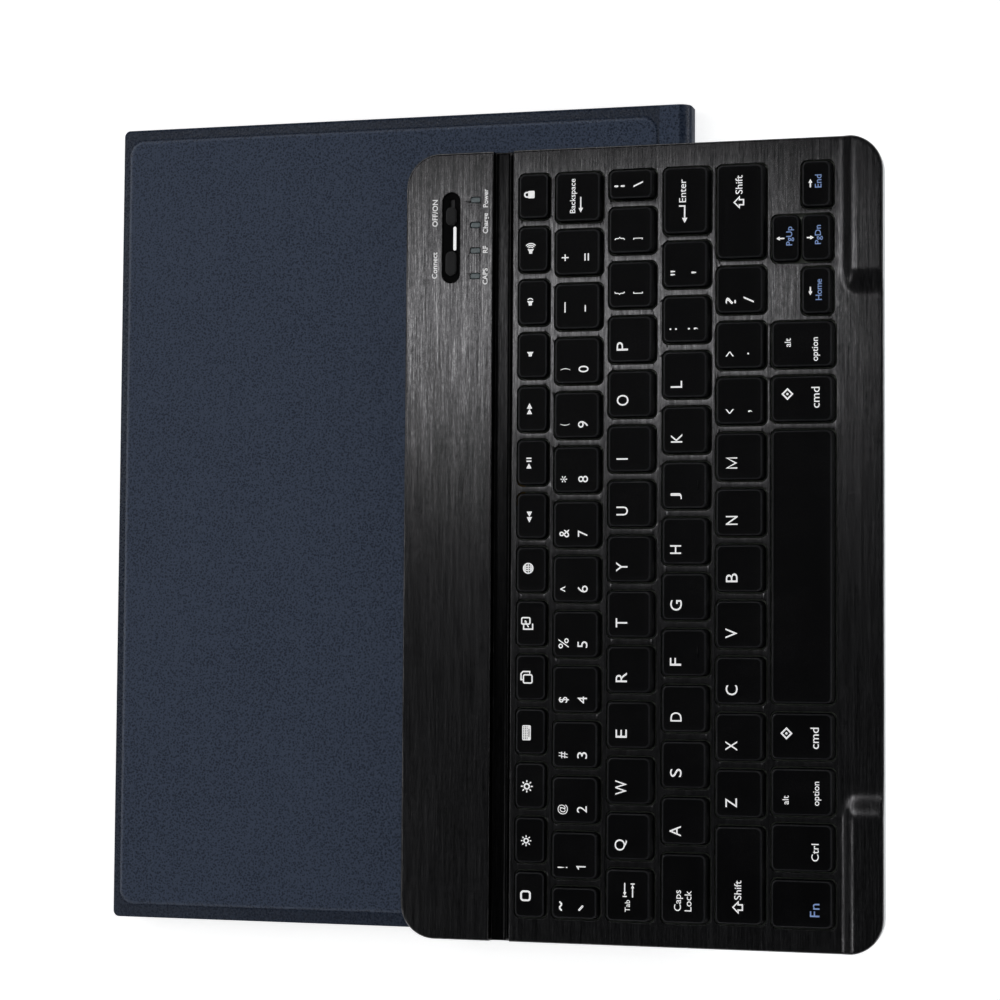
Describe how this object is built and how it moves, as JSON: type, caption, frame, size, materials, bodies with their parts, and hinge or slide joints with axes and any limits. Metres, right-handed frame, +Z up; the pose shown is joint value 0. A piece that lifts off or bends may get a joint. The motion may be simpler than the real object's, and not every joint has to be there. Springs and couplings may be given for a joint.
{
  "type": "tablet keyboard case",
  "caption": "Book-style tablet folio in dark blue imitation leather, closed, with a slim detachable keyboard lying on its front cover and past its spine.",
  "frame": {"origin": "under the middle of the whole closed object, on the surface that it lies on", "axes": "+X from the folio's free edge across its spine to the typist's side of the keyboard, +Y along the spine from the Fn key end to the Backspace end, +Z up"},
  "size_m": [0.2488, 0.2582, 0.0206],
  "materials": {
    "navy_leather": "fine-grained dark blue imitation leather, satin",
    "board": "grey-brown stiffening board",
    "lining": "short-pile grey microfibre",
    "tray_shell": "dark matte shell plastic",
    "magnet": "nickel-plated magnet",
    "steel": "stamped steel",
    "brushed_deck": "black with fine brushed lines along the keyboard",
    "silver_case": "light grey satin metal",
    "membrane": "clear film with printed tracks",
    "dome_rubber": "grey silicone",
    "inner_plastic": "black moulded links",
    "board_green": "green circuit board",
    "battery_foil": "foil pouch",
    "ribbon": "amber flat ribbon",
    "knob_black": "black satin plastic",
    "led": "clear lens",
    "window": "smoked light pipe",
    "bar_white": "white plastic strip",
    "foot_rubber": "black rubber",
    "keycap": "near-black, finely textured, with white legends"
  },
  "bodies": {
    "front_cover": {"front_cover_skin": "navy_leather", "front_cover_board": "board", "front_cover_lining": "lining", "cover_hinge_leather": "navy_leather", "cover_magnets": "magnet"},
    "spine": {"spine_skin": "navy_leather", "spine_board": "board"},
    "back_cover": {"back_hinge_leather": "navy_leather", "back_cover_skin": "navy_leather", "back_board_near": "board", "back_board_far": "board", "back_cover_lining": "lining", "tablet_tray": "tray_shell", "catch_plates": "steel"},
    "keyboard": {"keyboard_top_cover": "brushed_deck", "keyboard_bottom_case": "silver_case", "key_support_plate": "steel", "membrane_sheet": "membrane", "rubber_domes": "dome_rubber", "scissor_frames": "inner_plastic", "main_board": "board_green", "battery": "battery_foil", "ribbon_tail": "ribbon", "charging_socket": "steel", "power_switch_body": "steel", "pairing_switch": "steel", "status_leds": "led", "status_windows": "window", "switch_bar": "bar_white", "groove_magnets": "magnet", "keyboard_screws": "steel", "keyboard_feet": "foot_rubber"},
    "power_knob": {"power_switch_knob": "knob_black"},
    "pairing_key": {"pairing_button": "knob_black"},
    "function_row_keys": {"keys_function_row": "keycap"},
    "number_row_keys": {"keys_number_row": "keycap"},
    "upper_row_keys": {"keys_upper_row": "keycap"},
    "home_row_keys": {"keys_home_row": "keycap"},
    "lower_row_keys": {"keys_lower_row": "keycap"},
    "grave_key": {"key_grave": "keycap"},
    "backspace_key": {"key_backspace": "keycap"},
    "tab_key": {"key_tab": "keycap"},
    "backslash_key": {"key_backslash": "keycap"},
    "caps_lock_key": {"key_caps_lock": "keycap"},
    "enter_key": {"key_enter": "keycap"},
    "shift_left_key": {"key_shift_left": "keycap"},
    "shift_right_key": {"key_shift_right": "keycap"},
    "fn_key": {"key_fn": "keycap"},
    "ctrl_key": {"key_ctrl": "keycap"},
    "option_left_key": {"key_option_left": "keycap"},
    "command_left_key": {"key_command_left": "keycap"},
    "space_key": {"key_space": "keycap"},
    "command_right_key": {"key_command_right": "keycap"},
    "option_right_key": {"key_option_right": "keycap"},
    "home_key": {"key_home": "keycap"},
    "page_up_key": {"key_page_up": "keycap"},
    "page_down_key": {"key_page_down": "keycap"},
    "end_key": {"key_end": "keycap"}
  },
  "joints": [
    {"name": "cover_hinge", "type": "hinge", "parent": "front_cover", "child": "spine", "pos_m": [0.06315, 0.0013, 0.0112], "axis": [0, -1, 0], "range_deg": [0, 90], "deforming": ["cover_hinge_leather"]},
    {"name": "spine_hinge", "type": "hinge", "parent": "spine", "child": "back_cover", "pos_m": [0.06315, 0.0013, 0.0018], "axis": [0, -1, 0], "range_deg": [0, 90], "deforming": ["back_hinge_leather"]},
    {"name": "keyboard_lift", "type": "slide", "parent": "front_cover", "child": "keyboard", "axis": [0, 0, 1], "range_m": [0, 0.06]},
    {"name": "power_slide", "type": "slide", "parent": "keyboard", "child": "power_knob", "axis": [0, 1, 0], "range_m": [0, 0.0025]},
    {"name": "pairing_press", "type": "slide", "parent": "keyboard", "child": "pairing_key", "axis": [0, 0, -1], "range_m": [0, 0.0005], "stiffness_N_per_m": 1500, "springref_m": -0.0003},
    {"name": "function_row_press", "type": "slide", "parent": "keyboard", "child": "function_row_keys", "axis": [0, 0, -1], "range_m": [0, 0.0015], "stiffness_N_per_m": 4200, "springref_m": -0.0004},
    {"name": "number_row_press", "type": "slide", "parent": "keyboard", "child": "number_row_keys", "axis": [0, 0, -1], "range_m": [0, 0.0015], "stiffness_N_per_m": 3600, "springref_m": -0.0004},
    {"name": "upper_row_press", "type": "slide", "parent": "keyboard", "child": "upper_row_keys", "axis": [0, 0, -1], "range_m": [0, 0.0015], "stiffness_N_per_m": 3600, "springref_m": -0.0004},
    {"name": "home_row_press", "type": "slide", "parent": "keyboard", "child": "home_row_keys", "axis": [0, 0, -1], "range_m": [0, 0.0015], "stiffness_N_per_m": 3300, "springref_m": -0.0004},
    {"name": "lower_row_press", "type": "slide", "parent": "keyboard", "child": "lower_row_keys", "axis": [0, 0, -1], "range_m": [0, 0.0015], "stiffness_N_per_m": 3000, "springref_m": -0.0004},
    {"name": "grave_press", "type": "slide", "parent": "keyboard", "child": "grave_key", "axis": [0, 0, -1], "range_m": [0, 0.0015], "stiffness_N_per_m": 300, "springref_m": -0.0004},
    {"name": "backspace_press", "type": "slide", "parent": "keyboard", "child": "backspace_key", "axis": [0, 0, -1], "range_m": [0, 0.0015], "stiffness_N_per_m": 300, "springref_m": -0.0004},
    {"name": "tab_press", "type": "slide", "parent": "keyboard", "child": "tab_key", "axis": [0, 0, -1], "range_m": [0, 0.0015], "stiffness_N_per_m": 300, "springref_m": -0.0004},
    {"name": "backslash_press", "type": "slide", "parent": "keyboard", "child": "backslash_key", "axis": [0, 0, -1], "range_m": [0, 0.0015], "stiffness_N_per_m": 300, "springref_m": -0.0004},
    {"name": "caps_lock_press", "type": "slide", "parent": "keyboard", "child": "caps_lock_key", "axis": [0, 0, -1], "range_m": [0, 0.0015], "stiffness_N_per_m": 300, "springref_m": -0.0004},
    {"name": "enter_press", "type": "slide", "parent": "keyboard", "child": "enter_key", "axis": [0, 0, -1], "range_m": [0, 0.0015], "stiffness_N_per_m": 300, "springref_m": -0.0004},
    {"name": "shift_left_press", "type": "slide", "parent": "keyboard", "child": "shift_left_key", "axis": [0, 0, -1], "range_m": [0, 0.0015], "stiffness_N_per_m": 300, "springref_m": -0.0004},
    {"name": "shift_right_press", "type": "slide", "parent": "keyboard", "child": "shift_right_key", "axis": [0, 0, -1], "range_m": [0, 0.0015], "stiffness_N_per_m": 300, "springref_m": -0.0004},
    {"name": "fn_press", "type": "slide", "parent": "keyboard", "child": "fn_key", "axis": [0, 0, -1], "range_m": [0, 0.0015], "stiffness_N_per_m": 300, "springref_m": -0.0004},
    {"name": "ctrl_press", "type": "slide", "parent": "keyboard", "child": "ctrl_key", "axis": [0, 0, -1], "range_m": [0, 0.0015], "stiffness_N_per_m": 300, "springref_m": -0.0004},
    {"name": "option_left_press", "type": "slide", "parent": "keyboard", "child": "option_left_key", "axis": [0, 0, -1], "range_m": [0, 0.0015], "stiffness_N_per_m": 300, "springref_m": -0.0004},
    {"name": "command_left_press", "type": "slide", "parent": "keyboard", "child": "command_left_key", "axis": [0, 0, -1], "range_m": [0, 0.0015], "stiffness_N_per_m": 300, "springref_m": -0.0004},
    {"name": "space_press", "type": "slide", "parent": "keyboard", "child": "space_key", "axis": [0, 0, -1], "range_m": [0, 0.0015], "stiffness_N_per_m": 300, "springref_m": -0.0004, "deforming": ["rubber_domes"]},
    {"name": "command_right_press", "type": "slide", "parent": "keyboard", "child": "command_right_key", "axis": [0, 0, -1], "range_m": [0, 0.0015], "stiffness_N_per_m": 300, "springref_m": -0.0004},
    {"name": "option_right_press", "type": "slide", "parent": "keyboard", "child": "option_right_key", "axis": [0, 0, -1], "range_m": [0, 0.0015], "stiffness_N_per_m": 300, "springref_m": -0.0004},
    {"name": "home_press", "type": "slide", "parent": "keyboard", "child": "home_key", "axis": [0, 0, -1], "range_m": [0, 0.0015], "stiffness_N_per_m": 300, "springref_m": -0.0004},
    {"name": "page_up_press", "type": "slide", "parent": "keyboard", "child": "page_up_key", "axis": [0, 0, -1], "range_m": [0, 0.0015], "stiffness_N_per_m": 300, "springref_m": -0.0004},
    {"name": "page_down_press", "type": "slide", "parent": "keyboard", "child": "page_down_key", "axis": [0, 0, -1], "range_m": [0, 0.0015], "stiffness_N_per_m": 300, "springref_m": -0.0004},
    {"name": "end_press", "type": "slide", "parent": "keyboard", "child": "end_key", "axis": [0, 0, -1], "range_m": [0, 0.0015], "stiffness_N_per_m": 300, "springref_m": -0.0004}
  ],
  "couplings": [
    {"joint": "spine_hinge", "follows": "cover_hinge", "ratio": 1}
  ]
}
